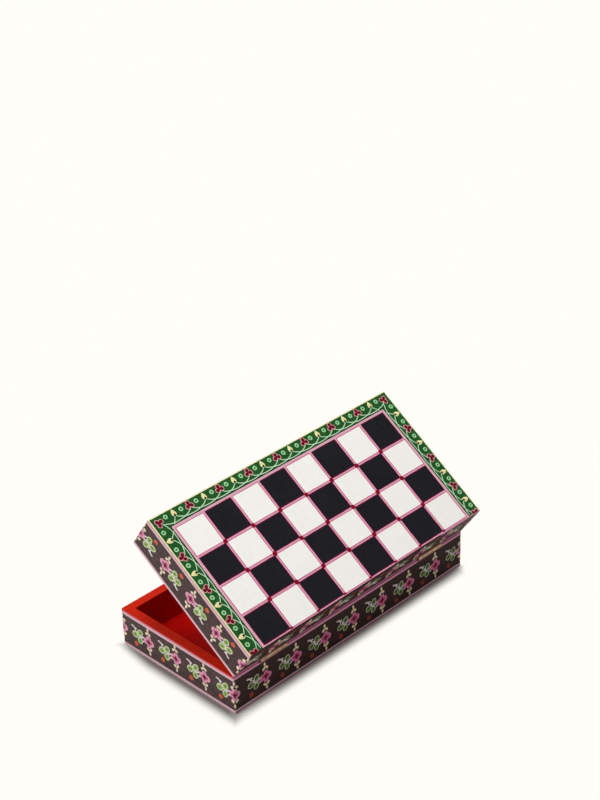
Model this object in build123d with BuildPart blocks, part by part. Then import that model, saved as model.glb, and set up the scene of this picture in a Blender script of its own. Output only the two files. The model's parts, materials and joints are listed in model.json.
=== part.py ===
from build123d import *
import os
from math import asin, cos, radians, sin

os.makedirs("parts", exist_ok=True)

# A folding chess board: two shallow wooden trays hinged along one long side.
# Closed, it is a flat box. Unfolded by half a turn, the two outer faces make one playing field.
# X runs along the hinge side, Y from the hinge side to the opening side and Z up.
# The origin is the centre of the face that the base rests on. Sizes are in millimetres.

# The box
length = 300.0
depth = 147.0
half_height = 40.0
wall = 9.0
panel = 6.0
edge_round = 0.8
# Long wall left standing outside an end wall, in the rebated corner
corner_lip = 4.5
# Between the closed rims, and between the hinge walls of the unfolded board
seam = 0.6
# How far the lid stands open, in degrees
ajar = 34.5

# The two butt hinges, let into the rims
hinge_centre = 103.0
hinge_length = 32.0
barrel_radius = 2.0
leaf_thickness = 1.2
leaf_reach = 7.5
knuckles = 5
knuckle_gap = 0.3
barrel_clearance = 0.35
hinge_pin_radius = 0.8
running_clearance = 0.05

# Countersunk screws of the hinge leaves
screw_spread = 19.0
screw_from_edge = 4.9
screw_head_radius = 2.0
screw_radius = 1.0
screw_length = 9.0
screw_point = 2.0
slot_width = 0.5
slot_depth = 0.4

# Panel pins that hold the corners and the panels, set below the surface and filled over
nail_radius = 0.7
nail_length = 19.0
nail_point = 2.0
nail_head_radius = 1.2
nail_head = 0.8
nail_sunk = 0.6
corner_nail_heights = (8.0, 25.0)
panel_nails_long = 7
panel_nails_short = 2
panel_nail_pitch = 45.0

# Hook catch on the opening side: the hook on the base, its stud on the lid
catch_from_rim = 10.0
hook_thickness = 1.2
hook_off_wall = 0.7
eye_radius = 3.4
arm_width = 3.6
claw_radius = 3.9
slot_clearance = 0.3
tab_radius = 1.5
catch_play = 0.2
catch_shank_radius = 1.4
catch_head_radius = 3.0
catch_head = 1.7
catch_screw_length = 9.0
washer_radius = 3.2
washer = 0.5
stud_radius = 1.0
stud_head_radius = 2.4
stud_head = 1.4
stud_flange_radius = 2.8
stud_flange = 0.4
stud_tail = 6.0

# Levels in a half's own frame, which lies on the hinge axis: X along the box, Y from the hinge
# side to the opening side, Z from the rim to the playing face
rim = seam / 2
back = seam / 2
front = back + depth
wall_height = half_height - panel
panel_joint = rim + wall_height
end_wall_length = depth - 2 * corner_lip

hinge_axis = Vector(0, -(depth + seam) / 2, half_height + seam / 2)
lid_up = (0, -sin(radians(ajar)), cos(radians(ajar)))

# The base is the same half as the lid, turned over, so its frame points down
base_half = Plane(origin=hinge_axis, x_dir=(-1, 0, 0), z_dir=(0, 0, -1))
lid_half = Plane(origin=hinge_axis, x_dir=(1, 0, 0), z_dir=lid_up)


def keep(piece, label):
    """Name a finished piece and write it to its own file."""
    piece.part.label = label
    export_step(piece.part, f"parts/{label}.step")


def spot(half, place, direction):
    """A plane at a place in a half's frame, with its Z along a direction of that frame."""
    origin = half.from_local_coords(place)
    return Plane(origin=origin, z_dir=half.from_local_coords(direction) - half.origin)


# Panel pin, head first along its own Z
with BuildPart() as nail:
    with BuildSketch(Plane.XZ):
        with BuildLine():
            Polyline(
                (0, 0),
                (nail_head_radius, 0),
                (nail_head_radius, nail_head),
                (nail_radius, nail_head),
                (nail_radius, nail_length - nail_point),
                (0, nail_length),
                close=True,
            )
        make_face()
    revolve(axis=Axis.Z)

# Countersunk wood screw, head first along its own Z
with BuildPart() as screw:
    with BuildSketch(Plane.XZ):
        with BuildLine():
            Polyline(
                (0, 0),
                (screw_head_radius, 0),
                (screw_radius, screw_head_radius - screw_radius),
                (screw_radius, screw_length - screw_point),
                (0, screw_length),
                close=True,
            )
        make_face()
    revolve(axis=Axis.Z)


def corner_nail_spots(half):
    """Nails through each long wall's lip into the end walls."""
    across = (length - wall) / 2
    spots = []
    for outer, inward in ((back, 1), (front, -1)):
        for x in (-across, across):
            for height in corner_nail_heights:
                place = (x, outer + inward * nail_sunk, rim + height)
                spots.append(spot(half, place, (0, inward, 0)))
    return spots


def panel_nail_spots(half):
    """Nails through the panel into the four walls, driven from the playing face."""
    head_level = rim + half_height - nail_sunk
    middle = back + depth / 2
    rows = []
    for y in (back + wall / 2, front - wall / 2):
        start = -(panel_nails_long - 1) / 2
        rows += [((start + step) * panel_nail_pitch, y) for step in range(panel_nails_long)]
    for x in (-(length - wall) / 2, (length - wall) / 2):
        start = -(panel_nails_short - 1) / 2
        rows += [(x, middle + (start + step) * panel_nail_pitch) for step in range(panel_nails_short)]
    return [spot(half, (x, y, head_level), (0, 0, -1)) for x, y in rows]


def screw_spots(half, centre):
    """The screws of the hinge leaf at one place along the rim."""
    y = back + screw_from_edge
    return [spot(half, (centre + side * screw_spread / 2, y, rim), (0, 0, 1)) for side in (-1, 1)]


def knuckle_spots(half, centre, first):
    """Middles of every other knuckle of a barrel, beginning with the first or the second."""
    pitch = (hinge_length + knuckle_gap) / knuckles
    start = centre - pitch * (knuckles - 1) / 2
    return [spot(half, (start + pitch * step, 0, 0), (1, 0, 0)) for step in range(first, knuckles, 2)]


def make_panel(half, label):
    """The board that closes a tray and carries half of the playing field on its outer face."""
    up = Axis(half.origin, half.z_dir)
    with BuildPart() as board:
        with BuildSketch(half.offset(panel_joint)):
            with Locations((0, back + depth / 2)):
                Rectangle(length, depth)
        extrude(amount=panel)
        fillet(board.edges().filter_by(up), edge_round)
        fillet(board.faces().sort_by(up)[-1].edges(), edge_round)
        with Locations(*panel_nail_spots(half)):
            add(nail.part, mode=Mode.SUBTRACT)
    keep(board, label)


def make_long_wall(half, label, outer, inward, extra):
    """A wall along the length, rebated at both ends, with pockets for what is driven into it."""
    up = Axis(half.origin, half.z_dir)
    outside_first = Axis(half.origin, half.y_dir * inward)
    rebate = wall - corner_lip
    with BuildPart() as timber:
        with BuildSketch(half.offset(rim)):
            with Locations((0, outer + inward * wall / 2)):
                Rectangle(length, wall)
            with Locations((0, outer + inward * (corner_lip + rebate / 2))):
                with GridLocations(length - wall, 0, 2, 1):
                    Rectangle(wall, rebate, mode=Mode.SUBTRACT)
        extrude(amount=wall_height)
        fillet(timber.edges().filter_by(up).group_by(outside_first)[0], edge_round)
        with Locations(*corner_nail_spots(half), *panel_nail_spots(half)):
            add(nail.part, mode=Mode.SUBTRACT)
        for cutter in extra:
            add(cutter.part, mode=Mode.SUBTRACT)
    keep(timber, label)


def make_end_wall(half, label, side):
    """A short wall that fits into the rebates of the two long walls."""
    with BuildPart() as timber:
        with BuildSketch(half.offset(rim)):
            with Locations((side * (length - wall) / 2, back + depth / 2)):
                Rectangle(wall, end_wall_length)
        extrude(amount=wall_height)
        with Locations(*corner_nail_spots(half), *panel_nail_spots(half)):
            add(nail.part, mode=Mode.SUBTRACT)
    keep(timber, label)


def make_nails(spots, label):
    """A set of panel pins."""
    with BuildPart() as nails:
        with Locations(*spots):
            add(nail.part)
    keep(nails, label)


def hinge_mortises(half):
    """What is cut from a hinge wall: leaf beds, room for the barrels and screw holes."""
    bed_depth = back + leaf_reach
    with BuildPart() as cutter:
        with BuildSketch(half.offset(rim)):
            with Locations((0, bed_depth / 2)):
                with GridLocations(2 * hinge_centre, 0, 2, 1):
                    Rectangle(hinge_length, bed_depth)
        extrude(amount=leaf_thickness)
        for centre in (-hinge_centre, hinge_centre):
            with Locations(spot(half, (centre, 0, 0), (1, 0, 0))):
                Cylinder(barrel_radius + barrel_clearance, hinge_length + 2 * knuckle_gap)
            with Locations(*screw_spots(half, centre)):
                add(screw.part)
    return cutter


def make_leaf(half, label, centre, first, bore_radius):
    """A hinge leaf: a flat plate with its share of the knuckles rolled on its edge."""
    knuckle_length = (hinge_length + knuckle_gap) / knuckles - knuckle_gap
    plate_depth = back + leaf_reach
    with BuildPart() as leaf:
        with BuildSketch(half.offset(rim)):
            with Locations((centre, plate_depth / 2)):
                Rectangle(hinge_length, plate_depth)
        extrude(amount=leaf_thickness)
        with Locations(*knuckle_spots(half, centre, 1 - first)):
            Cylinder(
                barrel_radius + knuckle_gap,
                knuckle_length + 2 * knuckle_gap,
                mode=Mode.SUBTRACT,
            )
        with Locations(*knuckle_spots(half, centre, first)):
            Cylinder(barrel_radius, knuckle_length)
        with Locations(spot(half, (centre, 0, 0), (1, 0, 0))):
            Cylinder(bore_radius, hinge_length, mode=Mode.SUBTRACT)
        with Locations(*screw_spots(half, centre)):
            add(screw.part, mode=Mode.SUBTRACT)
    keep(leaf, label)


def make_screws(half, label, centre):
    """The slotted countersunk screws of one leaf."""
    spots = screw_spots(half, centre)
    with BuildPart() as screws:
        with Locations(*spots):
            add(screw.part)
            Box(slot_width, 3 * screw_head_radius, 2 * slot_depth, mode=Mode.SUBTRACT)
    keep(screws, label)


def make_hinge_pin(label, centre):
    """The pin that the five knuckles of a hinge turn on."""
    with BuildPart() as pin:
        with Locations(spot(lid_half, (centre, 0, 0), (1, 0, 0))):
            Cylinder(hinge_pin_radius, hinge_length)
    keep(pin, label)


# Catch, on planes that face out of the front walls: X to the right and Y up for a person there
front_face_y = depth / 2
hook_reach = 2 * catch_from_rim + seam
catch_pivot = Plane(
    origin=(0, front_face_y, half_height - catch_from_rim), x_dir=(-1, 0, 0), z_dir=(0, 1, 0)
)
stud_place = lid_half.from_local_coords((0, front, rim + catch_from_rim))
catch_target = Plane(origin=stud_place, x_dir=(-1, 0, 0), z_dir=lid_half.y_dir)
catch_head_level = hook_off_wall + hook_thickness + catch_play
stud_head_level = hook_off_wall + hook_thickness + slot_clearance


def dome(radius, low, top):
    """Three points on half of a domed head's outline, from its rim to its crown."""
    ball = (radius**2 + (top - low) ** 2) / (2 * (top - low))
    half_turn = asin(radius / ball) / 2
    shoulder = (ball * sin(half_turn), top - ball + ball * cos(half_turn))
    return (radius, low), shoulder, (0, top)


# Round-headed screw that the hook turns on
with BuildPart() as catch_screw:
    with BuildSketch(Plane.XZ):
        with BuildLine():
            crown = dome(
                catch_head_radius, catch_head_level + catch_head / 3, catch_head_level + catch_head
            )
            ThreePointArc(*crown)
            Polyline(
                crown[2],
                (0, -catch_screw_length),
                (catch_shank_radius, screw_point - catch_screw_length),
                (catch_shank_radius, catch_head_level),
                (catch_head_radius, catch_head_level),
                crown[0],
            )
        make_face()
    revolve(axis=Axis.Z)

# Round-headed stud that the hook catches
with BuildPart() as catch_stud:
    with BuildSketch(Plane.XZ):
        with BuildLine():
            crown = dome(
                stud_head_radius, stud_head_level + stud_head / 3, stud_head_level + stud_head
            )
            ThreePointArc(*crown)
            Polyline(
                crown[2],
                (0, -stud_tail),
                (stud_radius, screw_point - stud_tail),
                (stud_radius, 0),
                (stud_flange_radius, 0),
                (stud_flange_radius, stud_flange),
                (stud_radius, stud_flange),
                (stud_radius, stud_head_level),
                (stud_head_radius, stud_head_level),
                crown[0],
            )
        make_face()
    revolve(axis=Axis.Z)

with BuildPart() as placed_catch_screw:
    with Locations(catch_pivot):
        add(catch_screw.part)
    with Locations(catch_pivot.offset(catch_head_level + catch_head)):
        Box(2 * catch_head_radius, slot_width + 0.2, 2 * slot_depth, mode=Mode.SUBTRACT)
keep(placed_catch_screw, "catch_screw")

with BuildPart() as catch_screw_hole:
    with Locations(catch_pivot):
        add(catch_screw.part)

with BuildPart() as placed_catch_stud:
    with Locations(catch_target):
        add(catch_stud.part)
keep(placed_catch_stud, "catch_stud")

with BuildPart() as catch_washer:
    with BuildSketch(catch_pivot):
        Circle(washer_radius)
        Circle(catch_shank_radius, mode=Mode.SUBTRACT)
    extrude(amount=washer)
keep(catch_washer, "catch_washer")

# The hook hangs straight down when it is free, and its claw opens to the side it swings to
with BuildPart() as catch_hook:
    with BuildSketch(catch_pivot.offset(hook_off_wall)):
        Circle(eye_radius)
        with Locations((0, -hook_reach / 2)):
            Rectangle(arm_width, hook_reach)
        with Locations((0, -hook_reach)):
            Circle(claw_radius)
        with Locations((-claw_radius, -hook_reach)):
            Circle(tab_radius)
        Circle(catch_shank_radius + running_clearance, mode=Mode.SUBTRACT)
        with BuildLine() as stud_path:
            CenterArc((0, 0), hook_reach, -90, 20)
        SlotArc(stud_path.edge(), 2 * (stud_radius + slot_clearance), mode=Mode.SUBTRACT)
    extrude(amount=hook_thickness)
    outlines = catch_hook.edges().filter_by(GeomType.CIRCLE).filter_by(catch_pivot)
    chamfer(outlines.filter_by(lambda edge: edge.radius > catch_shank_radius + 1), 0.2)
keep(catch_hook, "catch_hook")

# The two halves: panel, four walls and the pins that hold them
base_mortises = hinge_mortises(base_half)
lid_mortises = hinge_mortises(lid_half)
for half_name, half, mortises, catch_hole in (
    ("base", base_half, base_mortises, catch_screw_hole),
    ("lid", lid_half, lid_mortises, placed_catch_stud),
):
    to_the_right = half.x_dir.X
    make_panel(half, f"{half_name}_panel")
    make_long_wall(half, f"{half_name}_hinge_wall", back, 1, [mortises])
    make_long_wall(half, f"{half_name}_front_wall", front, -1, [catch_hole])
    make_end_wall(half, f"{half_name}_left_end", -to_the_right)
    make_end_wall(half, f"{half_name}_right_end", to_the_right)
    make_nails(corner_nail_spots(half), f"{half_name}_corner_pins")
    make_nails(panel_nail_spots(half), f"{half_name}_panel_pins")

# The two hinges: three knuckles on the base leaf, two on the lid leaf
for hinge_name, side in (("left", -1), ("right", 1)):
    base_side = side * base_half.x_dir.X * hinge_centre
    lid_side = side * lid_half.x_dir.X * hinge_centre
    make_leaf(base_half, f"{hinge_name}_hinge_base_leaf", base_side, 0, hinge_pin_radius)
    make_leaf(
        lid_half,
        f"{hinge_name}_hinge_lid_leaf",
        lid_side,
        1,
        hinge_pin_radius + running_clearance,
    )
    make_hinge_pin(f"{hinge_name}_hinge_pin", lid_side)
    make_screws(base_half, f"{hinge_name}_hinge_base_screws", base_side)
    make_screws(lid_half, f"{hinge_name}_hinge_lid_screws", lid_side)
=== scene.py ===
import cmath
import json
import math
import random

import bpy
from mathutils import Matrix, Vector


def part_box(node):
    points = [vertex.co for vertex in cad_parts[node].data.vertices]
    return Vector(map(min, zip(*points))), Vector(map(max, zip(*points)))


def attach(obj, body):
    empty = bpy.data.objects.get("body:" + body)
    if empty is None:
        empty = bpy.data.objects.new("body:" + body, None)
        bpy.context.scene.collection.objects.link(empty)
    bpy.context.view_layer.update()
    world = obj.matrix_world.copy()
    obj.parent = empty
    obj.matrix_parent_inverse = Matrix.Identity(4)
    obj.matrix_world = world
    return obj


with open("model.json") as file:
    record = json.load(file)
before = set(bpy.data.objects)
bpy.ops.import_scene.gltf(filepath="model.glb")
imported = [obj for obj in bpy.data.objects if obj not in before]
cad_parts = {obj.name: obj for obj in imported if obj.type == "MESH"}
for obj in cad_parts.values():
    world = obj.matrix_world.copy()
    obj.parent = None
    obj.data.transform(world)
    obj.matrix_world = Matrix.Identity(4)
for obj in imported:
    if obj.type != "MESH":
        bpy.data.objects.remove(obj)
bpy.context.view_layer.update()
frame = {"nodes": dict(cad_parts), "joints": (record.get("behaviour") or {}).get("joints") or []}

# The view: a long lens a metre and a half away, from the left of the hinge side and above.
# The camera leans a little, and the middle of the picture is the middle of the lens.
camera_place = Vector((-0.93872, -0.96724, 0.98594))
camera_turn = math.radians(-44.53)
camera_drop = math.radians(29.609)
camera_lean = math.radians(-1.93)
camera_lens = 105.925
sensor_width = 36.0

looking = Vector(
    (
        -math.sin(camera_turn) * math.cos(camera_drop),
        math.cos(camera_turn) * math.cos(camera_drop),
        -math.sin(camera_drop),
    )
)
level = Vector((math.cos(camera_turn), math.sin(camera_turn), 0))
upright = level.cross(looking)
to_right = level * math.cos(camera_lean) + upright * math.sin(camera_lean)
to_top = upright * math.cos(camera_lean) - level * math.sin(camera_lean)

camera_data = bpy.data.cameras.new("camera")
camera_data.sensor_fit = "HORIZONTAL"
camera_data.sensor_width = sensor_width
camera_data.lens = camera_lens
camera_data.clip_start = 0.05
camera = bpy.data.objects.new("camera", camera_data)
turn = Matrix((to_right, to_top, -looking)).transposed()
camera.matrix_world = Matrix.Translation(camera_place) @ turn.to_4x4()
bpy.context.scene.collection.objects.link(camera)
bpy.context.scene.camera = camera

# The two trays, lacquered wood: dark brown outside, brushed all over in slanting strokes, and
# red inside and on the rims. Each tray is painted in its own frame, which lies on the hinge
# line: X along the box, Y from the hinges to the opening, Z from the rim to the playing face.
mm = 0.001
lid_joint = next(joint for joint in frame["joints"] if joint["name"] == "lid_hinge")
hinge_line = Vector(lid_joint["pos_m"])
ajar = math.radians(-lid_joint["range_deg"][0])
face_low, face_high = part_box("base_panel")
wall_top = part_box("base_front_wall")[1].z

length = (face_high.x - face_low.x) / mm
depth = (face_high.y - face_low.y) / mm
back = (face_low.y - hinge_line.y) / mm
front = back + depth
rim = (hinge_line.z - wall_top) / mm
face = hinge_line.z / mm
half_length = length / 2
edge_round = 0.8
rim_wrap = 0.6
lacquer_skin = 0.3
end_skin = 0.4
rim_skin = 0.05

trays = {
    "base": Matrix.Translation(hinge_line) @ Matrix.Rotation(math.pi, 4, "Y"),
    "lid": Matrix.Translation(hinge_line) @ Matrix.Rotation(ajar, 4, "X"),
}


def colour(code, shade=1.0):
    """A screen colour, written as six hex digits, in the renderer's own numbers."""
    parts = [int(code[start : start + 2], 16) / 255 for start in (0, 2, 4)]
    linear = [part / 12.92 if part < 0.04045 else ((part + 0.055) / 1.055) ** 2.4 for part in parts]
    return (*(part * shade for part in linear), 1.0)


class Shade:
    """What one socket of a material, or of the world, says. Sums on it become Math nodes."""

    def __init__(self, material, socket=None):
        self.material = material
        self.socket = socket

    def node(self, kind, settings, sources, output=0):
        """Any other node: settings first, then the values or links of its sockets."""
        made = self.material.node_tree.nodes.new("ShaderNode" + kind)
        for name, setting in settings.items():
            setattr(made, name, setting)
        for name, source in sources.items():
            if isinstance(source, Shade):
                self.material.node_tree.links.new(source.socket, made.inputs[name])
            else:
                made.inputs[name].default_value = source
        return Shade(self.material, made.outputs[output]) if made.outputs else None

    def other(self, name):
        """Another output of the same node."""
        return Shade(self.material, self.socket.node.outputs[name])

    def math(self, operation, first, second):
        return self.node("Math", {"operation": operation}, {0: first, 1: second})

    def __add__(self, other):
        return self.math("ADD", self, other)

    def __sub__(self, other):
        return self.math("SUBTRACT", self, other)

    def __rsub__(self, other):
        return self.math("SUBTRACT", other, self)

    def __mul__(self, other):
        return self.math("MULTIPLY", self, other)

    __radd__ = __add__
    __rmul__ = __mul__

    def __abs__(self):
        return self.math("ABSOLUTE", self, 0)

    def __gt__(self, other):
        return self.math("GREATER_THAN", self, other)

    def __lt__(self, other):
        return self.math("LESS_THAN", self, other)

    def largest(self, other):
        return self.math("MAXIMUM", self, other)

    def between(self, off, on):
        """The first colour where this is 0, the second where it is 1."""
        return self.node("Mix", {"data_type": "RGBA"}, {0: self, 6: off, 7: on}, 2)

    def spread(self, low, high, new_low=0.0, new_high=1.0):
        """Stretch this from one range to another, and hold it there."""
        sources = {1: low, 2: high, 3: new_low, 4: new_high}
        return self.node("MapRange", {"clamp": True}, {0: self, **sources})


def new_material(name):
    """An empty material and the object's own coordinates in it."""
    material = bpy.data.materials.new(name)
    material.use_nodes = True
    material.node_tree.nodes.clear()
    return material, Shade(material).node("TexCoord", {}, {}, 3)


def grain(place, stretch, scale, detail=3.0, turn=(0, 0, 0)):
    """Noise drawn out along an axis, from 0 to 1."""
    drawn = place.node("Mapping", {}, {"Vector": place, "Rotation": turn, "Scale": stretch})
    return place.node("TexNoise", {}, {"Vector": drawn, "Scale": scale, "Detail": detail})


def finish(place, base, roughness, height, depth_of_bump, **others):
    """The shader and the output of a material."""
    bump = place.node("Bump", {}, {"Height": height, "Strength": 0.6, "Distance": depth_of_bump})
    sources = {"Base Color": base, "Roughness": roughness, "Normal": bump}
    shader = place.node("BsdfPrincipled", {}, {**sources, **others})
    place.node("OutputMaterial", {}, {"Surface": shader})
    return place.material


# Two browns for the ends, painted lighter as a sheen, two for the long sides, painted
# # darker as shade, and the speckle in both
lacquers = {
    "base": (("4e3d3c", "5f4d4c"), ("352220", "442e2c"), "2a2023"),
    "lid": (("4a3a39", "5a4948"), ("341e1c", "432827"), "2a1c1d"),
}
# One red paint in two copies: lighter and more orange on the rims as painted light, deeper inside
# as painted shade
lit_rim_red = ("b81b03", "c82408")
shaded_inside_red = ("b60602", "c60d04")
speckle_scale = 260
stroke_scale = 900


def tray_lacquer(tray):
    """Wood of one tray, whose colour goes by which face of the tray a point is on; ends, long
    sides, rims and inside carry painted light and shade.
    """
    ends, shaded_long_sides, speckle = lacquers[tray]
    material, place = new_material(f"{tray}_lacquer")
    turn = trays[tray].to_3x3()
    offset = place.node("VectorMath", {"operation": "SUBTRACT"}, {0: place, 1: hinge_line})

    def along(axis):
        direction = turn.col[axis].normalized() / mm
        return place.node("VectorMath", {"operation": "DOT_PRODUCT"}, {0: offset, 1: direction}, 1)

    x, y, z = along(0), along(1), along(2)
    sides = (abs(x) - half_length).largest(abs(y - (back + depth / 2)) - depth / 2)
    outside = sides.largest(z - face) > -lacquer_skin
    on_rim = z < rim + rim_skin
    wrapped = (z < rim + rim_wrap) * (y > back + lacquer_skin)
    dark = outside * (1 - wrapped) * (1 - on_rim)
    speckles = grain(place, (1, 1, 1), speckle_scale, 6, (0.6, 0.5, 0.4))
    slanting = grain(place, (1, 0.12, 1), stroke_scale, 3, (0.7, 0.3, 0.5))
    lit_end_brown, shaded_side_brown = (
        slanting.spread(0.3, 0.7).between(colour(first), colour(second))
        for first, second in (ends, shaded_long_sides)
    )
    # Painted light: the ends get the lighter brown as a sheen, the long sides the darker one as
    # shade
    brown = (abs(x) > half_length - end_skin).between(shaded_side_brown, lit_end_brown)
    speckled = (speckles.spread(0.35, 0.75) * 0.5).between(brown, colour(speckle))
    # The rims take the lit copy of the red and the inner walls and floor the shaded one
    red, shaded_red = (
        speckles.spread(0.3, 0.7).between(colour(first), colour(second))
        for first, second in (lit_rim_red, shaded_inside_red)
    )
    inside = on_rim.largest(outside).between(shaded_red, red)
    base = dark.between(inside, speckled)
    roughness = slanting.spread(0.2, 0.8, 0.4, 0.55)
    gloss = {"Specular IOR Level": 0.06, "Coat Weight": dark * 0.06, "Coat Roughness": 0.3}
    return finish(place, base, roughness, slanting + speckles, 0.00006, **gloss)


tray_nodes = ("panel", "hinge_wall", "front_wall", "left_end", "right_end")
for tray in trays:
    lacquer = tray_lacquer(tray)
    for piece in tray_nodes:
        frame["nodes"][f"{tray}_{piece}"].data.materials.clear()
        frame["nodes"][f"{tray}_{piece}"].data.materials.append(lacquer)

# The playing field, half on each tray: enamel squares that alternate black and white, eight
# along the box and four across it. Every coat of paint stands a hair proud of the wood.
squares_along = 8
squares_across = 4
border_at_ends = 17.2
hinge_margin = 2.0
border_at_front = 18.6
square_x = (length - 2 * border_at_ends) / squares_along
square_y = (depth - hinge_margin - border_at_front) / squares_across
field_start = complex(-squares_along * square_x / 2, back + hinge_margin)
black_margins = (complex(1.3, 0.85), complex(0.65, 0.95))
white_margins = (complex(1.75, 1.4), complex(1.25, 1.55))
frame_inner = 18.05
frame_step = 0.45
black_hinge_edge = 2.25
white_hinge_edge = 2.8
square_height = 0.05
square_waver = 0.08
sunk = 0.03
hand = random.Random(8)


def enamel(name, paint, shaded, strength=0.5, fine=700, roughness=0.5):
    """Brushed enamel: strokes of a second shade, and a surface that ripples with them."""
    material, place = new_material(name)
    strokes = grain(place, (1, 0.35, 1), fine, 3, (0, 0, 0.6))
    cloud = grain(place, (1, 1, 1), 60, 2)
    mixed = strokes.spread(0.35, 0.75) * 0.6 + cloud.spread(0.3, 0.7) * 0.4
    base = (mixed * strength).between(colour(paint), colour(shaded))
    rough = strokes.spread(0.2, 0.8, roughness - 0.06, roughness + 0.08)
    return finish(place, base, rough, strokes, 0.00005, **{"Specular IOR Level": 0.04})


def area(outline):
    """The area of an outline, above 0 where it runs anticlockwise."""
    pairs = zip(outline, outline[1:] + outline[:1])
    return sum((a.conjugate() * b).imag for a, b in pairs) / 2


def drawn_in(outline, amount, squared):
    """An outline moved inwards, towards its middle or square to the sides of a rectangle."""
    middle = sum(outline) / len(outline)
    moved = []
    for point in outline:
        way = middle - point
        if squared:
            way = complex(math.copysign(1, way.real), math.copysign(1, way.imag))
        else:
            way /= max(abs(way), amount)
        moved.append(point + amount * way)
    return moved


class Paintwork:
    """Patches and strokes of thick paint on one face of a tray, gathered in one mesh."""

    def __init__(self, place):
        self.place = place
        self.points = []
        self.faces = []
        self.paints = []
        self.used = []

    def ring(self, outline, height):
        start = len(self.points)
        self.points += [self.place(point.real, point.imag, height) for point in outline]
        return list(range(start, len(self.points)))

    def add_faces(self, faces, paint):
        if paint not in self.paints:
            self.paints.append(paint)
        self.faces += faces
        self.used += [self.paints.index(paint)] * len(faces)

    def patch(self, outline, height, paint, shoulder=0.12, squared=False):
        """A flat patch with a sloping edge."""
        if area(outline) < 0:
            outline = outline[::-1]
        rings = [
            self.ring(outline, -sunk),
            self.ring(drawn_in(outline, shoulder * 0.3, squared), height * 0.7),
            self.ring(drawn_in(outline, shoulder, squared), height),
        ]
        faces = [tuple(rings[2]), tuple(reversed(rings[0]))]
        for low, high in zip(rings, rings[1:]):
            count = len(low)
            faces += [
                (low[i], low[(i + 1) % count], high[(i + 1) % count], high[i]) for i in range(count)
            ]
        self.add_faces(faces, paint)

    def stroke(self, line, width, height, paint, ends=0.5, shares=(-1, -0.6, 0, 0.6, 1)):
        """A rounded brush stroke along a line, narrower at its ends."""
        sections = []
        last = len(line) - 1
        for step, point in enumerate(line):
            way = line[min(step + 1, last)] - line[max(step - 1, 0)]
            side = 1j * way / abs(way) * width / 2
            side *= 1 - (1 - ends) * abs(2 * step / last - 1) ** 6
            across = [point + side * share for share in shares]
            crown = [height * (1 - 0.3 * share * share) for share in shares[1:-1]]
            lift = [-sunk, *crown, -sunk]
            start = len(self.points)
            self.points += [self.place(p.real, p.imag, h) for p, h in zip(across, lift)]
            sections.append(range(start, start + len(shares)))
        faces = [tuple(reversed(sections[-1])), tuple(sections[0])]
        for here, there in zip(sections, sections[1:]):
            for i in range(len(shares)):
                j = (i + 1) % len(shares)
                faces.append((here[j], here[i], there[i], there[j]))
        self.add_faces(faces, paint)

    def piece(self, name, tray, slot):
        """The finished piece, which rides on its tray."""
        mesh = bpy.data.meshes.new(name)
        mesh.from_pydata(self.points, [], self.faces)
        for paint in self.paints:
            mesh.materials.append(paint)
        mesh.polygons.foreach_set("material_index", self.used)
        mesh.update()
        made = bpy.data.objects.new(name, mesh)
        bpy.context.scene.collection.objects.link(made)
        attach(made, tray)


def on_face(tray):
    """Where a point of a tray's playing face lies: along the box, across it, and its height."""
    return lambda x, y, height: trays[tray] @ (Vector((x, y, face + height)) * mm)


def waver(most):
    """How far a brush strays from its way at one point."""
    return complex(hand.uniform(-most, most), hand.uniform(-most, most))


def rectangle(corner, size, most=0.0, steps=6):
    """A rectangle whose sides waver as a brush does."""
    corners = [corner, corner + size.real, corner + size, corner + 1j * size.imag]
    outline = []
    for start, end in zip(corners, corners[1:] + corners[:1]):
        outline += [start + (end - start) * step / steps + waver(most) for step in range(steps)]
    return outline


def square_at(column, row):
    """Two opposite corners of a square, the white ones a little smaller than the black."""
    pale = (column + row) % 2
    near, far = white_margins if pale else black_margins
    low = field_start + complex(column * square_x, row * square_y) + near
    high = field_start + complex((column + 1) * square_x, (row + 1) * square_y) - far
    # Beside the frame a white square stops short of it, and a black one in front laps over it
    hinge_edge = back + (white_hinge_edge if pale else black_hinge_edge)
    edge = frame_inner + (frame_step if pale else 0)
    front_edge = frame_inner + (frame_step if pale else -frame_step)
    if column == 0:
        low = complex(-half_length + edge, low.imag)
    if column == squares_along - 1:
        high = complex(half_length - edge, high.imag)
    if row == 0:
        low = complex(low.real, hinge_edge)
    if row == squares_across - 1:
        high = complex(high.real, front - front_edge)
    return low, high, pale


white = enamel("white_enamel", "f9f7f3", "efede8", 0.6, 300, 0.5)
black = enamel("black_enamel", "15151b", "1f1f26", 0.7, 300, 0.45)
for tray in trays:
    squares = Paintwork(on_face(tray))
    for column in range(squares_along):
        for row in range(squares_across):
            low, high, pale = square_at(column, row)
            outline = rectangle(low, high - low, square_waver)
            squares.patch(outline, square_height, white if pale else black, squared=True)
    squares.piece(f"{tray}_squares", tray, "board_lacquer")

# The lines between the squares: bands of pink, with a fine line beside each square, rose by
# the white ones and wine by the black, and a crimson dot at every crossing inside the field.
pink = enamel("pink_enamel", "e8a2bc", "da8eaa", 0.6)
pale_pink = enamel("pale_pink_enamel", "e3adbd", "d69db0", 0.6)
rose = enamel("rose_line", "b03a66", "9c2c54", 0.6)
wine = enamel("wine_line", "560a2a", "440822", 0.5)
crimson = enamel("crimson_enamel", "92092b", "740421", 0.6)
frame_outer = 15.3
frame_lap = 0.5
half_band = 1.85
band_start = 1.05
band_waver = 0.05
band_height = 0.035
cross_band_height = 0.04
rose_width = 0.6
rose_out = 0.62
wine_width = 1.45
wine_out = -0.55
fine_line_height = 0.09
line_waver = 0.06
dot_radius = 2.4
dot_height = 0.13
dot_shift = 0.25
flat_dot_in = 2.45


def circle(centre, radius, count=16, uneven=0.0):
    """A round outline, a little uneven."""
    turns = [cmath.rect(1, 2 * math.pi * step / count) for step in range(count)]
    return [centre + radius * (1 + hand.uniform(-uneven, uneven)) * turn for turn in turns]


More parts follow.
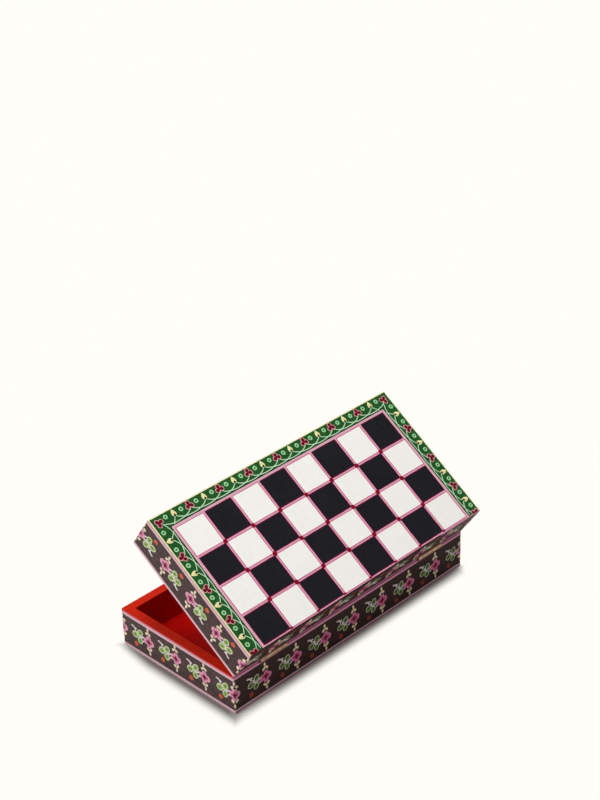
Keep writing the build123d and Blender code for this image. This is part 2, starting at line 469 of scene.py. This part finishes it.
for tray in trays:
    lines = Paintwork(on_face(tray))
    outer = complex(half_length - frame_outer, front - frame_outer)
    side = half_length - frame_inner - frame_lap
    band_low = back + band_start
    for column in range(squares_along + 1):
        x = field_start.real + column * square_x
        left, right = x - half_band, x + half_band
        if column == 0:
            left, right = -outer.real, -half_length + frame_inner + frame_lap
        if column == squares_along:
            left, right = side, outer.real
        size = complex(right - left, outer.imag - band_low)
        outline = rectangle(complex(left, band_low), size, band_waver, 30)
        paint = pale_pink if column in (0, squares_along) else pink
        lines.patch(outline, band_height, paint, squared=True)
    for row in range(squares_across + 1):
        y = field_start.imag + row * square_y
        low, high = y - half_band, y + half_band
        reach, paint = side, pink
        if row == 0:
            low, high = band_low, back + white_hinge_edge + 0.1
        if row == squares_across:
            low, high = front - frame_inner - frame_lap, outer.imag
            reach, paint = outer.real, pale_pink
        size = complex(2 * reach, high - low)
        outline = rectangle(complex(-reach, low), size, band_waver, 60)
        lines.patch(outline, cross_band_height, paint, squared=True)
    for column in range(squares_along):
        for row in range(squares_across):
            low, high, pale = square_at(column, row)
            out = rose_out if pale else wine_out
            low -= complex(out, out)
            high += complex(out, out)
            ends = [low, complex(high.real, low.imag), high, complex(low.real, high.imag)]
            for start, end in zip(ends, ends[1:] + ends[:1]):
                line = [start + (end - start) * step / 10 + waver(line_waver) for step in range(11)]
                width = (rose_width if pale else wine_width) * hand.uniform(0.85, 1.15)
                lines.stroke(line, width, fine_line_height, rose if pale else wine, 0.9)
    for column in range(1, squares_along):
        for row in range(squares_across):
            centre = field_start + complex(column * square_x + dot_shift, row * square_y)
            centre += complex(hand.uniform(-0.25, 0.25), hand.uniform(-0.2, 0.2))
            outline = circle(centre, dot_radius, 14, 0.1)
            if row == 0:
                # The dots of the hinge edge are flat ones
                middle = complex(centre.real, back + flat_dot_in)
                dot = circle(0, dot_radius - 0.3, 14, 0.1)
                outline = [middle + complex(point.real, point.imag * 0.5) for point in dot]
            lines.patch(outline, dot_height, crimson)
    lines.piece(f"{tray}_square_lines", tray, "board_lacquer")

# The border round three sides of the field: a green ground, darker along the frame of the
# squares. On it a pale vine winds past flowers and buds, with a small green ring between them.
ground_inset = 0.95
flower_in = 6.1
ring_in = 5.4
bud_tip_in = 1.5
bud_base_in = 8.7
corner_in = 7.6
flowers_along = 8
flowers_across = 4
last_flower = 1.5
drift = 1.8
late_drift_right = 2.6
late_drift_from = 0.44
late_drift_share = 0.58
ground_height = 0.05
shade_width = 1.0
shade_height = 0.075
ring_radius = 1.6
ring_width = 1.7
ring_height = 0.12
vine_width = 1.08
vine_height = 0.1
vine_step = 0.01
stem_width = 1.1
stem_height = 0.09
bud_width = 6.4
bud_height = 0.12
blush_width = 2.6
blush_height = 0.15
seed_radius = 1.2
seed_height = 0.19
lobe_reach = 2.45
lobe_turn = 112
lobe_outline = (2.5, 0.13)
lobe_heart = (1.85, 0.18)
flower_middle = (1.3, 0.17)

# The vine's way from one flower or bud to the second one on: distance run and distance in,
# drawn for a pitch of 36. It starts lower at a corner, and short stems lean to the outer buds.
drawn_pitch = 36
vine_knots = [
    (0.6, 8.6), (2.4, 10.0), (5.2, 11.6), (9.4, 12.9), (14.4, 13.6),
    (20.4, 13.6), (26.0, 12.9), (30.4, 11.7), (33.6, 10.0), (35.4, 8.8),
]
corner_knots = [(2.2, 10.2), (6.4, 11.8)] + vine_knots[3:]
stem_knots = [(0.6, 8.6), (2.2, 10.4), (4.0, 12.6), (5.8, 14.9)]

leaf_green = enamel("border_green", "275e2b", "123e19", 0.9, 500)
deep_green = enamel("border_shade", "103c16", "0a2e10", 0.6)
vine_green = enamel("vine_green", "c6e8c4", "b0d8ae", 0.5)
ring_green = enamel("ring_green", "a2daa2", "88c68a", 0.5)
wine_red = enamel("flower_wine", "720c24", "58061a", 0.6)
outline_pink = enamel("flower_outline", "e2a6aa", "cc8a90", 0.6)
bud_cream = enamel("bud_cream", "eeeab0", "e0da9a", 0.6)
bud_blush = enamel("bud_blush", "e4cc96", "d8bc84", 0.6)
dot_black = enamel("dot_black", "0f0e0e", "1c1616", 0.5)


class Border:
    """One stretch of the border: a corner of the face, the way along it and the way inwards."""

    def __init__(self, corner, along, inward, pitch, count, late_drift=0.0):
        self.corner = corner
        self.along = along
        self.inward = inward
        self.pitch = pitch
        self.count = count
        self.late_drift = late_drift

    def at(self, run, inset):
        """A point of the stretch. On the ends the painter's pattern drifts on a little."""
        if self.along != 1:
            late = min(max(run / depth - late_drift_from, 0) / late_drift_share, 1)
            shift = self.late_drift * max(0, math.sin(math.pi * late))
            run += shift + drift * max(0, math.sin(math.pi * (run - corner_in) / (self.pitch * 3)))
        return self.corner + self.along * run + self.inward * inset


long_pitch = (length - 2 * corner_in) / flowers_along
short_pitch = (depth - corner_in - last_flower) / flowers_across
front_left = complex(-half_length, front)
front_right = complex(half_length, front)
borders = (
    Border(front_left, 1, -1j, long_pitch, flowers_along),
    Border(front_left, -1j, 1, short_pitch, flowers_across),
    Border(front_right, -1j, -1, short_pitch, flowers_across, late_drift_right),
)


def cut_at_hinges(outline, limit):
    """The part of an outline that lies on the front side of a line along the box."""
    kept = []
    for here, there in zip(outline, outline[1:] + outline[:1]):
        if here.imag >= limit:
            kept.append(here)
        if (here.imag >= limit) != (there.imag >= limit):
            kept.append(here + (there - here) * (limit - here.imag) / (there.imag - here.imag))
    return kept


def smooth(points, steps=4):
    """A soft line through some points."""
    padded = [2 * points[0] - points[1], *points, 2 * points[-1] - points[-2]]
    line = []
    for a, b, c, d in zip(padded, padded[1:], padded[2:], padded[3:]):
        for step in range(steps):
            t = step / steps
            bend = (2 * a - 5 * b + 4 * c - d) * t * t + (3 * b - a - 3 * c + d) * t**3
            line.append(b + (c - a) * t / 2 + bend / 2)
    return line + [points[-1]]


def blade(root, tip, width, turns, swells):
    """An outline from a root to a tip and back, with its share of the width at each turn."""
    way = tip - root
    side = 1j * way / abs(way) * width / 2
    return [
        root + way * (0.5 - 0.5 * math.cos(turn)) + side * swell
        for turn, swell in zip(turns, swells)
    ]


def drop(root, tip, width, blunt=1.3, count=16):
    """A petal or bud, pointed at its root and round at its tip."""
    turns = [2 * math.pi * (step + 0.5) / count for step in range(count)]
    swells = [math.sin(turn) * abs(math.sin(turn / 2)) ** blunt for turn in turns]
    return blade(root, tip, width, turns, swells)


def trefoil(centre, pointing):
    """The middles of three round lobes, the first of them on the side that it points to."""
    turns = [pointing * cmath.rect(1, math.radians(angle)) for angle in (0, lobe_turn, -lobe_turn)]
    return [centre + lobe_reach * turn * hand.uniform(0.94, 1.06) for turn in turns]


for tray in trays:
    limit = back + edge_round
    ground = Paintwork(on_face(tray))
    outer_x = half_length - ground_inset
    outer_y = front - ground_inset
    inner_x = half_length - frame_outer
    inner_y = front - frame_outer
    for side in (-1, 1):
        corner = complex(min(side * inner_x, side * outer_x), limit)
        size = complex(outer_x - inner_x, inner_y - limit)
        outline = rectangle(corner, size, 0.0, 12)
        ground.patch(outline, ground_height, leaf_green, squared=True)
        corner = complex(min(side * inner_x, side * (inner_x + shade_width)), limit)
        size = complex(shade_width, inner_y + shade_width - limit)
        outline = rectangle(corner, size, band_waver, 12)
        ground.patch(outline, shade_height, deep_green, squared=True)
    size = complex(2 * outer_x, outer_y - inner_y)
    outline = rectangle(complex(-outer_x, inner_y), size, 0.0, 24)
    ground.patch(outline, ground_height, leaf_green, squared=True)
    size = complex(2 * inner_x, shade_width)
    outline = rectangle(complex(-inner_x, inner_y), size, band_waver, 24)
    ground.patch(outline, shade_height, deep_green, squared=True)
    ground.piece(f"{tray}_border_ground", tray, "board_lacquer")

    vine = Paintwork(on_face(tray))
    blooms = Paintwork(on_face(tray))
    for border in borders:
        half_pitch = border.pitch / 2
        stretch = border.pitch / drawn_pitch
        last = 2 * border.count
        for step in range(last + 1):
            run = corner_in + step * half_pitch
            # The rings stand midway between a flower and a bud
            if step < last:
                inset = ring_in + hand.uniform(-0.25, 0.25)
                middle = border.at(run + half_pitch / 2 + hand.uniform(-0.5, 0.5), inset)
                line = circle(middle, ring_radius, 18, 0.04)
                vine.stroke(line + line[:2], ring_width, ring_height, ring_green, 0.95)
            # From each flower and bud the vine dips to the frame and rises to the second one on.
            # On the ends the last two run on to the hinges, where the face stops.
            knots = [
                (ahead * stretch, inset + hand.uniform(-0.15, 0.15))
                for ahead, inset in (vine_knots if step else corner_knots)
            ]
            line = smooth([border.at(run + ahead, inset) for ahead, inset in knots])
            if step > last - 2:
                line = [point for point in line if point.imag > limit + 0.4 and border.along != 1]
            if len(line) > 4:
                height = vine_height + vine_step * (step % 2)
                vine.stroke(line, vine_width, height, vine_green, 0.75)
            # The first and last buds lean on a stem that comes from behind the frame
            for end, way in ((1, -1), (last - 1, 1)):
                if step == end and (way < 0 or border.along == 1):
                    stem = [border.at(run + way * ahead, inset) for ahead, inset in stem_knots]
                    vine.stroke(smooth(stem), stem_width, stem_height, vine_green, 0.75)
            if step % 2:
                tip = border.at(run, bud_tip_in)
                base = border.at(run, bud_base_in)
                way = base - tip
                blooms.patch(drop(tip, base, bud_width, 0.9, 20), bud_height, bud_cream)
                shift = 0.7 * border.along
                blush = drop(tip + way * 0.3 + shift, base - way * 0.12 + shift, blush_width)
                blooms.patch(blush, blush_height, bud_blush)
                blooms.patch(circle(tip + way * 0.84, seed_radius, 10), seed_height, dot_black)

    # Three-lobed flowers: at the corners they point outwards, and the hinge edge cuts the last
    spots = []
    for border in borders:
        first = 0 if border.along == 1 else 1
        for step in range(first, border.count + 1):
            pointing = -border.inward
            inset = flower_in
            if border.along == 1 and step in (0, border.count):
                pointing = cmath.rect(1, math.radians(135 if step == 0 else 45))
                inset = corner_in
            if border.along != 1 and step == border.count:
                pointing = -1j
            spots.append((border.at(corner_in + step * border.pitch, inset), pointing))
    for centre, pointing in spots:
        lobes = trefoil(centre, pointing)
        coats = [(lobe, *lobe_outline, outline_pink) for lobe in lobes]
        coats += [(lobe, *lobe_heart, wine_red) for lobe in lobes]
        coats += [(centre, *flower_middle, wine_red)]
        for middle, radius, height, paint in coats:
            outline = cut_at_hinges(circle(middle, radius, 16, 0.05), limit)
            if len(outline) > 3:
                blooms.patch(outline, height, paint)
    vine.piece(f"{tray}_border_vine", tray, "board_lacquer")
    blooms.piece(f"{tray}_border_flowers", tray, "board_lacquer")

# The painted edge lines: a cream line along the edge of the playing face with lilac beside
# # it, and bands of lilac, mauve and pink along the rim. The rim's mauve, a painted line that also
# stands in for the shade and reflection on the hinge side, stops at the hinges.
cream = enamel("edge_cream", "f0eabc", "e4dca6", 0.5)
buff = enamel("edge_buff", "cfae9c", "c09a8c", 0.5)
mauve = enamel("edge_mauve", "ac7480", "98606e", 0.6)
lilac = enamel("edge_lilac", "e2bac6", "d2a8b6", 0.6)
rim_rose = enamel("rim_rose", "d0707e", "be5e6e", 0.6)
# The hinge-side rim mauve: a painted line and painted shade and reflection of the stripe there
rim_mauve_and_shade = enamel("rim_mauve_and_shade", "b8628a", "a24e78", 0.6)
rim_pink = enamel("rim_pink", "eaa6c4", "da94b2", 0.6)
edge_rose = enamel("edge_rose", "f2d2dc", "e4c2ce", 0.6)
edge_lid = enamel("edge_lid", "c898a8", "b88898", 0.6)
edge_pale = enamel("edge_pale", "f2cadc", "e4b8ca", 0.6)
edge_wine = enamel("edge_wine", "7c4a60", "6a3c50", 0.6)
hinge_spots = (103.0, -103.0)
hinge_half = 16.6
lid_edge_run = 56

corners = (front_right, complex(half_length, back), complex(-half_length, back), front_left)
side_lengths = (depth, length, depth, length)
side_normals = (1, -1j, -1, 1j)
perimeter = 2 * (length + depth)


def outline_point(run, out):
    """A point of a tray's outline, from the opening corner on its +X side round by the hinges."""
    run %= perimeter
    side = 0
    while run > side_lengths[side]:
        run -= side_lengths[side]
        side += 1
    radius = max(edge_round + out, 0.05)
    normal = side_normals[side]
    way = normal * -1j
    for corner, distance, other in (
        (corners[side], run, side_normals[side - 1]),
        (corners[(side + 1) % 4], side_lengths[side] - run, side_normals[(side + 1) % 4]),
    ):
        if distance < edge_round:
            turn = math.radians(45) * (1 - distance / edge_round)
            middle = corner + (out - radius) * (normal + other)
            return middle + radius * (normal * math.cos(turn) + other * math.sin(turn))
    shortest = radius - out
    run = min(max(run, shortest), side_lengths[side] - shortest)
    return corners[side] + way * run + normal * out


def on_sides(tray):
    """Where a point of a tray's sides lies: round the tray, down from its face, outwards."""

    def place(run, down, out):
        point = outline_point(run, out)
        return trays[tray] @ (Vector((point.real, point.imag, face - down)) * mm)

    return place


def over_edge(run, height):
    """How far out of the side and below the face a point is, a run down from the edge's start."""
    arc = edge_round * math.pi / 2
    if run < 0:
        return -edge_round + run, -height
    if run > arc:
        return height, edge_round + run - arc
    turn = run / edge_round
    reach = edge_round + height
    return reach * math.sin(turn) - edge_round, edge_round - reach * math.cos(turn)


def ribbon(work, start, end, section, paint):
    """A band round the tray between two places, with a section of (out, down) points."""
    stations = [start, end]
    for turn in range(3):
        run = turn * perimeter
        for side_length in side_lengths:
            for step in range(-4, 5):
                at = run + edge_round * step / 4
                if start < at < end:
                    stations.append(at)
            run += side_length
    rings = []
    for run in sorted(set(stations)):
        first = len(work.points)
        work.points += [work.place(run, down, out) for out, down in section]
        rings.append(range(first, len(work.points)))
    count = len(section)
    faces = [tuple(rings[0]), tuple(reversed(rings[-1]))]
    for here, there in zip(rings, rings[1:]):
        for i in range(count):
            j = (i + 1) % count
            faces.append((here[i], there[i], there[j], here[j]))
    work.add_faces(faces, paint)


def band_section(low, high, height):
    """The closed section of a band over the edge, from one run down to another."""
    steps = 6
    runs = [low + (high - low) * step / steps for step in range(steps + 1)]
    top = [over_edge(run, height) for run in runs]
    return top + [over_edge(run, -sunk) for run in reversed(runs)]


def rim_section(top, bottom, height):
    """The closed section of a flat band on the side, by its two distances from the rim."""
    low, high = rim_down - top, rim_down - bottom
    return [(height, low), (height, high), (-sunk, high), (-sunk, low)]


rim_down = face - rim
hinge_side = (depth, depth + length)
three_sides = (depth + length, perimeter + depth)
hinge_middles = [depth + half_length - spot for spot in hinge_spots]
gaps = [(middle - hinge_half, middle + hinge_half) for middle in hinge_middles]
stretches = [(depth, gaps[0][0]), (gaps[0][1], gaps[1][0]), (gaps[1][1], depth + length)]

# Bands over the edge of the face: where, from and to which run down, height and paint
face_bands = {
    "base": (
        (three_sides, -0.3, 0.5, 0.07, cream),
        (three_sides, 0.45, 4.15, 0.06, lilac),
        (hinge_side, -0.2, 1.7, 0.06, edge_rose),
        (hinge_side, 1.65, 3.05, 0.04, edge_wine),
        (hinge_side, 3.0, 4.6, 0.06, edge_pale),
    ),
    "lid": (
        (three_sides, -0.3, 0.6, 0.07, cream),
        (three_sides, 0.55, 1.35, 0.06, buff),
        (three_sides, 1.3, 1.75, 0.07, mauve),
        (three_sides, 1.7, 4.6, 0.06, lilac),
        ((depth, depth + lid_edge_run), -0.2, 1.3, 0.06, edge_lid),
    ),
}

# Bands along the rim: where, between which distances from the rim, height and paint
hinge_rim_bands = (
    (stretches, 1.3, 0.02, 0.06, rim_mauve_and_shade),
    (gaps, 3.35, 2.5, 0.05, rim_pink),
    (stretches, 3.35, 1.25, 0.05, rim_pink),
)
rim_bands = {
    "base": (
        *hinge_rim_bands,
        ([three_sides], 4.75, 2.05, 0.05, lilac),
        ([three_sides], 2.1, 0.6, 0.06, rim_rose),
    ),
    "lid": (*hinge_rim_bands, ([three_sides], 2.7, 0.02, 0.05, lilac)),
}
for tray in trays:
    edges = Paintwork(on_sides(tray))
    for (start, end), low, high, height, paint in face_bands[tray]:
        ribbon(edges, start, end, band_section(low, high, height), paint)
    for places, top, bottom, height, paint in rim_bands[tray]:
        for start, end in places:
            ribbon(edges, start, end, rim_section(top, bottom, height), paint)
    edges.piece(f"{tray}_edge_lines", tray, "painted_wood")

# The sprigs round the sides: each is a forked stem with three leaves, a flower of four petals,
# a cream bud above and below it and an orange dot. The corner flowers sit on the corners.
sprigs_at_ends = 4
sprigs_along = 8
sprig_down = 20.4
row_raise = {"lid_hinge": 3.0, "base_hinge": 0.7}
row_shift = {"base_left": -1.2, "base_hinge": 0.5}
long_side_fullness = 0.86
sprig_stem_width = 1.75
sprig_stem_height = 0.1
leaf_height = 0.12
leaf_green_height = 0.16
vein_width = 1.4
vein_height = 0.19
sprig_bud_height = 0.12
sprig_bud_gap = 0.1
corner_bud_gap = 1.3
corner_bud_width = 2.6
flower_to_buds = ((10.4, 1), (-9.6, -1))
sprig_dot_height = 0.12

# A sprig as drawn, before its flower: its stems, and the root, tip and width of each leaf
sprig_stems = (
    ((-22.9, 8.2), (-21.0, 8.3), (-18.6, 7.2), (-15.6, 6.9)),
    ((-18.6, 7.2), (-17.9, 5.8), (-17.4, 4.0)),
    ((-15.9, 4.8), (-14.4, 2.2), (-12.6, -0.6)),
    ((-12.6, -0.4), (-9.4, 0.4), (-6.2, 2.4)),
    ((-8.4, -3.2), (-6.6, -2.4), (-5.0, -1.4)),
)
sprig_leaves = (
    (-13.9 + 1.2j, -8.5 + 8.0j, 7.2),
    (-14.4 + 1.8j, -22.4 - 1.6j, 7.4),
    (-10.6 - 0.1j, -13.2 - 7.7j, 7.2),
)
sprig_dot = -17.9 - 10.2j
dot_half = complex(2.65, 2.5)

# The three coats of a petal: paint, reach, width, bluntness, points and height
petal_coats = (
    ("petal", 7.1, 7.4, 0.4, 16, 0.1),
    ("petal_root", 4.5, 4.0, 0.3, 16, 0.14),
    ("heart", 2.4, 2.3, 0.2, 12, 0.18),
)
# The same on a corner, where a petal is a stroke: paint, start, end, width and height
folded_coats = (
    ("petal", 0.2, 6.8, 6.6, 0.1),
    ("petal_root", 0.2, 4.5, 4.2, 0.14),
    ("heart", 0.0, 2.2, 2.6, 0.18),
)
# The three drops of a bud, the first away from the flower: angle, size, reach and width
bud_drops = ((96, 1.0, 4.7, 2.8), (222, 1.06, 4.2, 3.2), (322, 1.0, 4.2, 3.2))

# The ends and the long sides each have their own copy of the sprig paints; on the long sides most
# are darker and deeper, partly the painter's own colour and partly painted shade
sprig_paints = {}
for place, codes in {
    "end": {
        "leaf_rim": ("cfd8b0", "bcc69a"),
        "leaf_green": ("96b066", "7c9850"),
        "leaf_vein": ("5a7a2a", "4a6420"),
        "stem": ("ebe0e4", "d8ccd0"),
        "petal": ("e4a4ba", "d48ca6"),
        "petal_root": ("c06a88", "ae5474"),
        "heart": ("742040", "5c162e"),
        "bud": ("eedcc2", "dac8a8"),
        "dot": ("d0684a", "b85238"),
    },
    "long": {
        "leaf_rim": ("dae0c4", "c4caac"),
        "leaf_green": ("5e7638", "4e642c"),
        "leaf_vein": ("3a5019", "2e4212"),
        "stem": ("ebe0e4", "d8ccd0"),
        "petal": ("e484aa", "d06e96"),
        "petal_root": ("c0557d", "ae4069"),
        "heart": ("760e2b", "5e0820"),
        "bud": ("fce8c6", "ecd6ae"),
        "dot": ("a44c3c", "903a2c"),
    },
}.items():
    sprig_paints[place] = {
        part: enamel(f"{place}_{part}", *pair, 0.6) for part, pair in codes.items()
    }


def leaf(root, tip, width, count=16):
    """A leaf, pointed at both ends."""
    turns = [2 * math.pi * step / count for step in range(count)]
    swells = [math.sin(turn) * abs(math.sin(turn)) ** 0.3 for turn in turns]
    return blade(root, tip, width, turns, swells)


# Where a stroke that folds round a corner has its points, from one edge to the other
folded = (-1, -0.85, -0.4, -0.27, -0.18, -0.09, 0, 0.09, 0.18, 0.27, 0.4, 0.85, 1)


def paint_flower(work, centre, on_corner, paints):
    """Four broad petals round a dark heart. On a corner the upper and lower ones fold round it."""
    for quarter in range(4):
        turn = 1j**quarter * cmath.rect(1, hand.uniform(-0.12, 0.12))
        size = hand.uniform(0.94, 1.04) * (0.93 if quarter % 2 else 1)
        lift = 0.004 * quarter
        if on_corner and quarter % 2:
            for part, low, high, width, height in folded_coats:
                steps = [low + (high - low) * step / 12 for step in range(13)]
                line = [centre + 1j**quarter * step for step in steps]
                work.stroke(line, width, height + lift, paints[part], 0.2, folded)
            continue
        root = centre + (0.9 if on_corner else -0.5) * turn
        for part, reach, width, blunt, count, height in petal_coats:
            grown = 1 if part == "heart" else size
            outline = drop(root, centre + reach * turn * grown, width * grown, blunt, count)
            work.patch(outline, height + lift, paints[part])


def paint_bud(work, centre, turn, on_corner, paints):
    """Three cream drops. On a corner the one that points away folds round it."""
    start = corner_bud_gap if on_corner else sprig_bud_gap
    for number, (angle, size, reach, width) in enumerate(bud_drops):
        way = turn * cmath.rect(1, math.radians(angle) + hand.uniform(-0.12, 0.12))
        if on_corner and number == 0:
            line = [centre + turn * 1j * (0.2 + 0.5 * step) for step in range(9)]
            work.stroke(line, corner_bud_width, sprig_bud_height, paints["bud"], 0.25, folded)
            continue
        outline = drop(centre + start * way, centre + (start + reach) * size * way, width, 0.4, 12)
        work.patch(outline, sprig_bud_height, paints["bud"])


def paint_sprig(work, at, paints, fullness):
    """Leaves, stem and dot, which stand before their flower."""
    for knots in sprig_stems:
        line = smooth([at + complex(*knot) for knot in knots])
        work.stroke(line, sprig_stem_width, sprig_stem_height, paints["stem"], 0.6)
    for root, tip, width in sprig_leaves:
        middle = at + (root + tip) / 2
        half = (tip - root) / 2 * cmath.rect(hand.uniform(0.96, 1.04), hand.uniform(-0.15, 0.15))
        half *= fullness
        width *= fullness
        rim_share = 0.76 / fullness**0.7
        work.patch(leaf(middle - half, middle + half, width), leaf_height, paints["leaf_rim"])
        root, tip = middle - half * rim_share, middle + half * rim_share
        inner = leaf(root, tip, width * (rim_share - 0.1))
        work.patch(inner, leaf_green_height, paints["leaf_green"])
        vein = [middle + half * share for share in (-0.4, -0.14, 0.14, 0.4)]
        work.stroke(vein, vein_width, vein_height, paints["leaf_vein"], 0.3)
    round_dot = circle(0, 1, 14, 0.06)
    dot = [complex(point.real * dot_half.real, point.imag * dot_half.imag) for point in round_dot]
    work.patch([at + sprig_dot + point for point in dot], sprig_dot_height, paints["dot"])


# The sides in their order round each tray. The base is painted upside down, so its ends swap.
side_names = {
    "base": ("left", "hinge", "right", "front"),
    "lid": ("right", "hinge", "left", "front"),
}
for tray in trays:
    start = 0.0
    for side, side_length in enumerate(side_lengths):
        name = f"{tray}_{side_names[tray][side]}"
        at_end = side_length == depth
        count = sprigs_at_ends if at_end else sprigs_along
        # The long sides take the darker copy of the paints, partly painted shade
        paints = sprig_paints["end" if at_end else "long"]
        down = sprig_down - row_raise.get(name, 0)
        pitch = side_length / count
        work = Paintwork(on_sides(tray))
        for step in range(count):
            run = start + (step + 1) * pitch
            on_corner = step == count - 1
            if not on_corner:
                run += hand.uniform(-0.6, 0.4)
                run += row_shift.get(name, 0)
            at = complex(run, down + hand.uniform(-0.4, 0.4))
            paint_sprig(work, at, paints, 1.0 if at_end else long_side_fullness)
            paint_flower(work, at, on_corner, sprig_paints["end"] if on_corner else paints)
            for off, turn in flower_to_buds:
                spot = at + complex(0 if on_corner else off * -0.04, off)
                paint_bud(work, spot, turn, on_corner, paints)
        work.piece(f"{name}_sprigs", tray, "painted_wood")
        start += side_length

# The hinges and the catch are brass, cast and rolled, and screwed to the wood. Handling has
# dulled them, and fine scratches run along the leaves.


def aged_brass():
    material, place = new_material("aged_brass")
    scratches = grain(place, (0.08, 1, 1), 1500, 4)
    tarnish = grain(place, (1, 1, 1), 240, 4)
    mixed = tarnish.spread(0.35, 0.7) * 0.8
    base = mixed.between(colour("bb9876"), colour("80634e"))
    rough = scratches.spread(0.2, 0.8, 0.28, 0.5)
    return finish(place, base, rough, scratches, 0.00004, Metallic=1.0)


brass = aged_brass()
brass_nodes = ["catch_hook", "catch_screw", "catch_washer", "catch_stud"]
for side in ("left", "right"):
    brass_nodes.append(f"{side}_hinge_pin")
    for tray in trays:
        brass_nodes += [f"{side}_hinge_{tray}_leaf", f"{side}_hinge_{tray}_screws"]
for node in brass_nodes:
    frame["nodes"][node].data.materials.clear()
    frame["nodes"][node].data.materials.append(brass)

# The nails of the tray corners and of the panels: bright drawn wire, driven in below the
# surface, so that the lacquer hides them.


def bright_wire():
    material, place = new_material("bright_wire")
    drawn = grain(place, (1, 1, 0.1), 2000, 2)
    base = drawn.between(colour("a9a9a8"), colour("8b8b8c"))
    return finish(place, base, drawn.spread(0, 1, 0.3, 0.45), drawn, 0.00003, Metallic=1.0)


wire = bright_wire()
for tray in trays:
    for piece in ("corner_pins", "panel_pins"):
        frame["nodes"][f"{tray}_{piece}"].data.materials.clear()
        frame["nodes"][f"{tray}_{piece}"].data.materials.append(wire)

# The floor is a sheet of pale paper, and two soft lamps stand to the left and above. Close
# # round the base a shadow is painted grey into the paper, where the box's own shadow shows too,
# and it fades at its right end.
floor_size = 12.0
floor_drop = 0.0002
paper = "fffef8"
lit_paper = 0.68
shadow_grey = "857e7c"
shadow_start = 0.001
shadow_end = 0.0155
right_end_start = 0.143
right_end_stop = 0.160
clear_from = 0.2
clear_at = 0.45
grey_from = 0.003
grey_to = 0.013
front_from = 0.035
front_to = 0.0735

# By how much the shadow is narrower beside the long sides, towards the opening and at the right
long_side_pull = 0.0015
front_pull = 0.006
right_end_pull = 0.016


def pale_paper():
    """Paper that is lit by the lamps near the box, with a painted shadow close round the base, and
    plain white further off.
    """
    material, place = new_material("pale_paper")
    fibres = grain(place, (1, 1, 1), 400, 3)
    x = place.node("SeparateXYZ", {}, {0: place})
    y = x.other("Y")
    beside = abs(x) - half_length * mm
    beyond = abs(y) - depth / 2 * mm
    gap = beside.largest(beyond)
    long_side = (beyond - beside).spread(-0.01, 0.01)
    front_side = y.spread(front_from, front_to)
    right_end = x.spread(right_end_start, right_end_stop)
    pulled = long_side * long_side_pull
    reach = gap + pulled + front_side * front_pull + right_end * right_end_pull
    whites = colour(paper, lit_paper), colour("f4f2ea", lit_paper)
    clean = (fibres.spread(0.3, 0.7) * 0.03).between(*whites)
    # Painted shadow: the paper's own colour turns grey close round the base
    painted_shadow = gap.spread(grey_from, grey_to).largest(long_side)
    base = painted_shadow.between(colour(shadow_grey), clean)
    rough = fibres.spread(0, 1, 0.85, 0.95)
    sources = {"Base Color": base, "Roughness": rough, "Specular IOR Level": 0.1}
    lit = place.node("BsdfPrincipled", {}, sources)
    glow = place.node("Emission", {}, {"Color": colour(paper), "Strength": 1.0})
    seen = place.node("LightPath", {}, {})
    reflected = seen.other("Is Glossy Ray")
    soft = {"clamp": True, "interpolation_type": "SMOOTHSTEP"}
    fade = {0: reach, 1: shadow_start, 2: shadow_end, 3: 0.0, 4: 0.99}
    near = place.node("MapRange", soft, fade)
    away = place.node("VectorMath", {"operation": "LENGTH"}, {0: place}, 1)
    far = away.spread(clear_from, clear_at)
    share = (seen * near.largest(far)).largest(reflected * far)
    mixed = place.node("MixShader", {}, {0: share, 1: lit, 2: glow})
    place.node("OutputMaterial", {}, {"Surface": mixed})
    return material


half_floor = floor_size / 2
floor_corners = [
    (side * half_floor, end * half_floor, -floor_drop)
    for side, end in ((-1, -1), (1, -1), (1, 1), (-1, 1))
]
floor_mesh = bpy.data.meshes.new("floor")
floor_mesh.from_pydata(floor_corners, [], [(0, 1, 2, 3)])
floor_mesh.materials.append(pale_paper())
floor = bpy.data.objects.new("floor", floor_mesh)
bpy.context.scene.collection.objects.link(floor)


def softbox(name, place, size, power):
    """A square lamp that faces the box."""
    data = bpy.data.lights.new(name, "AREA")
    data.size = size
    data.energy = power
    lamp = bpy.data.objects.new(name, data)
    lamp.location = place
    lamp.rotation_euler = (-Vector(place)).to_track_quat("-Z", "Y").to_euler()
    bpy.context.scene.collection.objects.link(lamp)


softbox("softbox_left", (-1.5, 0.15, 1.3), 1.3, 24)
softbox("softbox_top", (0.4, 0.0, 1.8), 0.8, 17.4)

# The room is white to the eye and in the brass, and lights the box with a fifth of that white
room_light = 0.2
world = bpy.data.worlds.new("studio")
world.use_nodes = True
world.node_tree.nodes.clear()
bpy.context.scene.world = world
seen = Shade(world).node("LightPath", {}, {})
strength = seen.largest(seen.other("Is Glossy Ray")).spread(0.0, 1.0, room_light, 1.0)
sky = seen.node("Background", {}, {"Color": colour(paper), "Strength": strength})
seen.node("OutputWorld", {}, {"Surface": sky})

bpy.context.scene.view_settings.view_transform = "Standard"
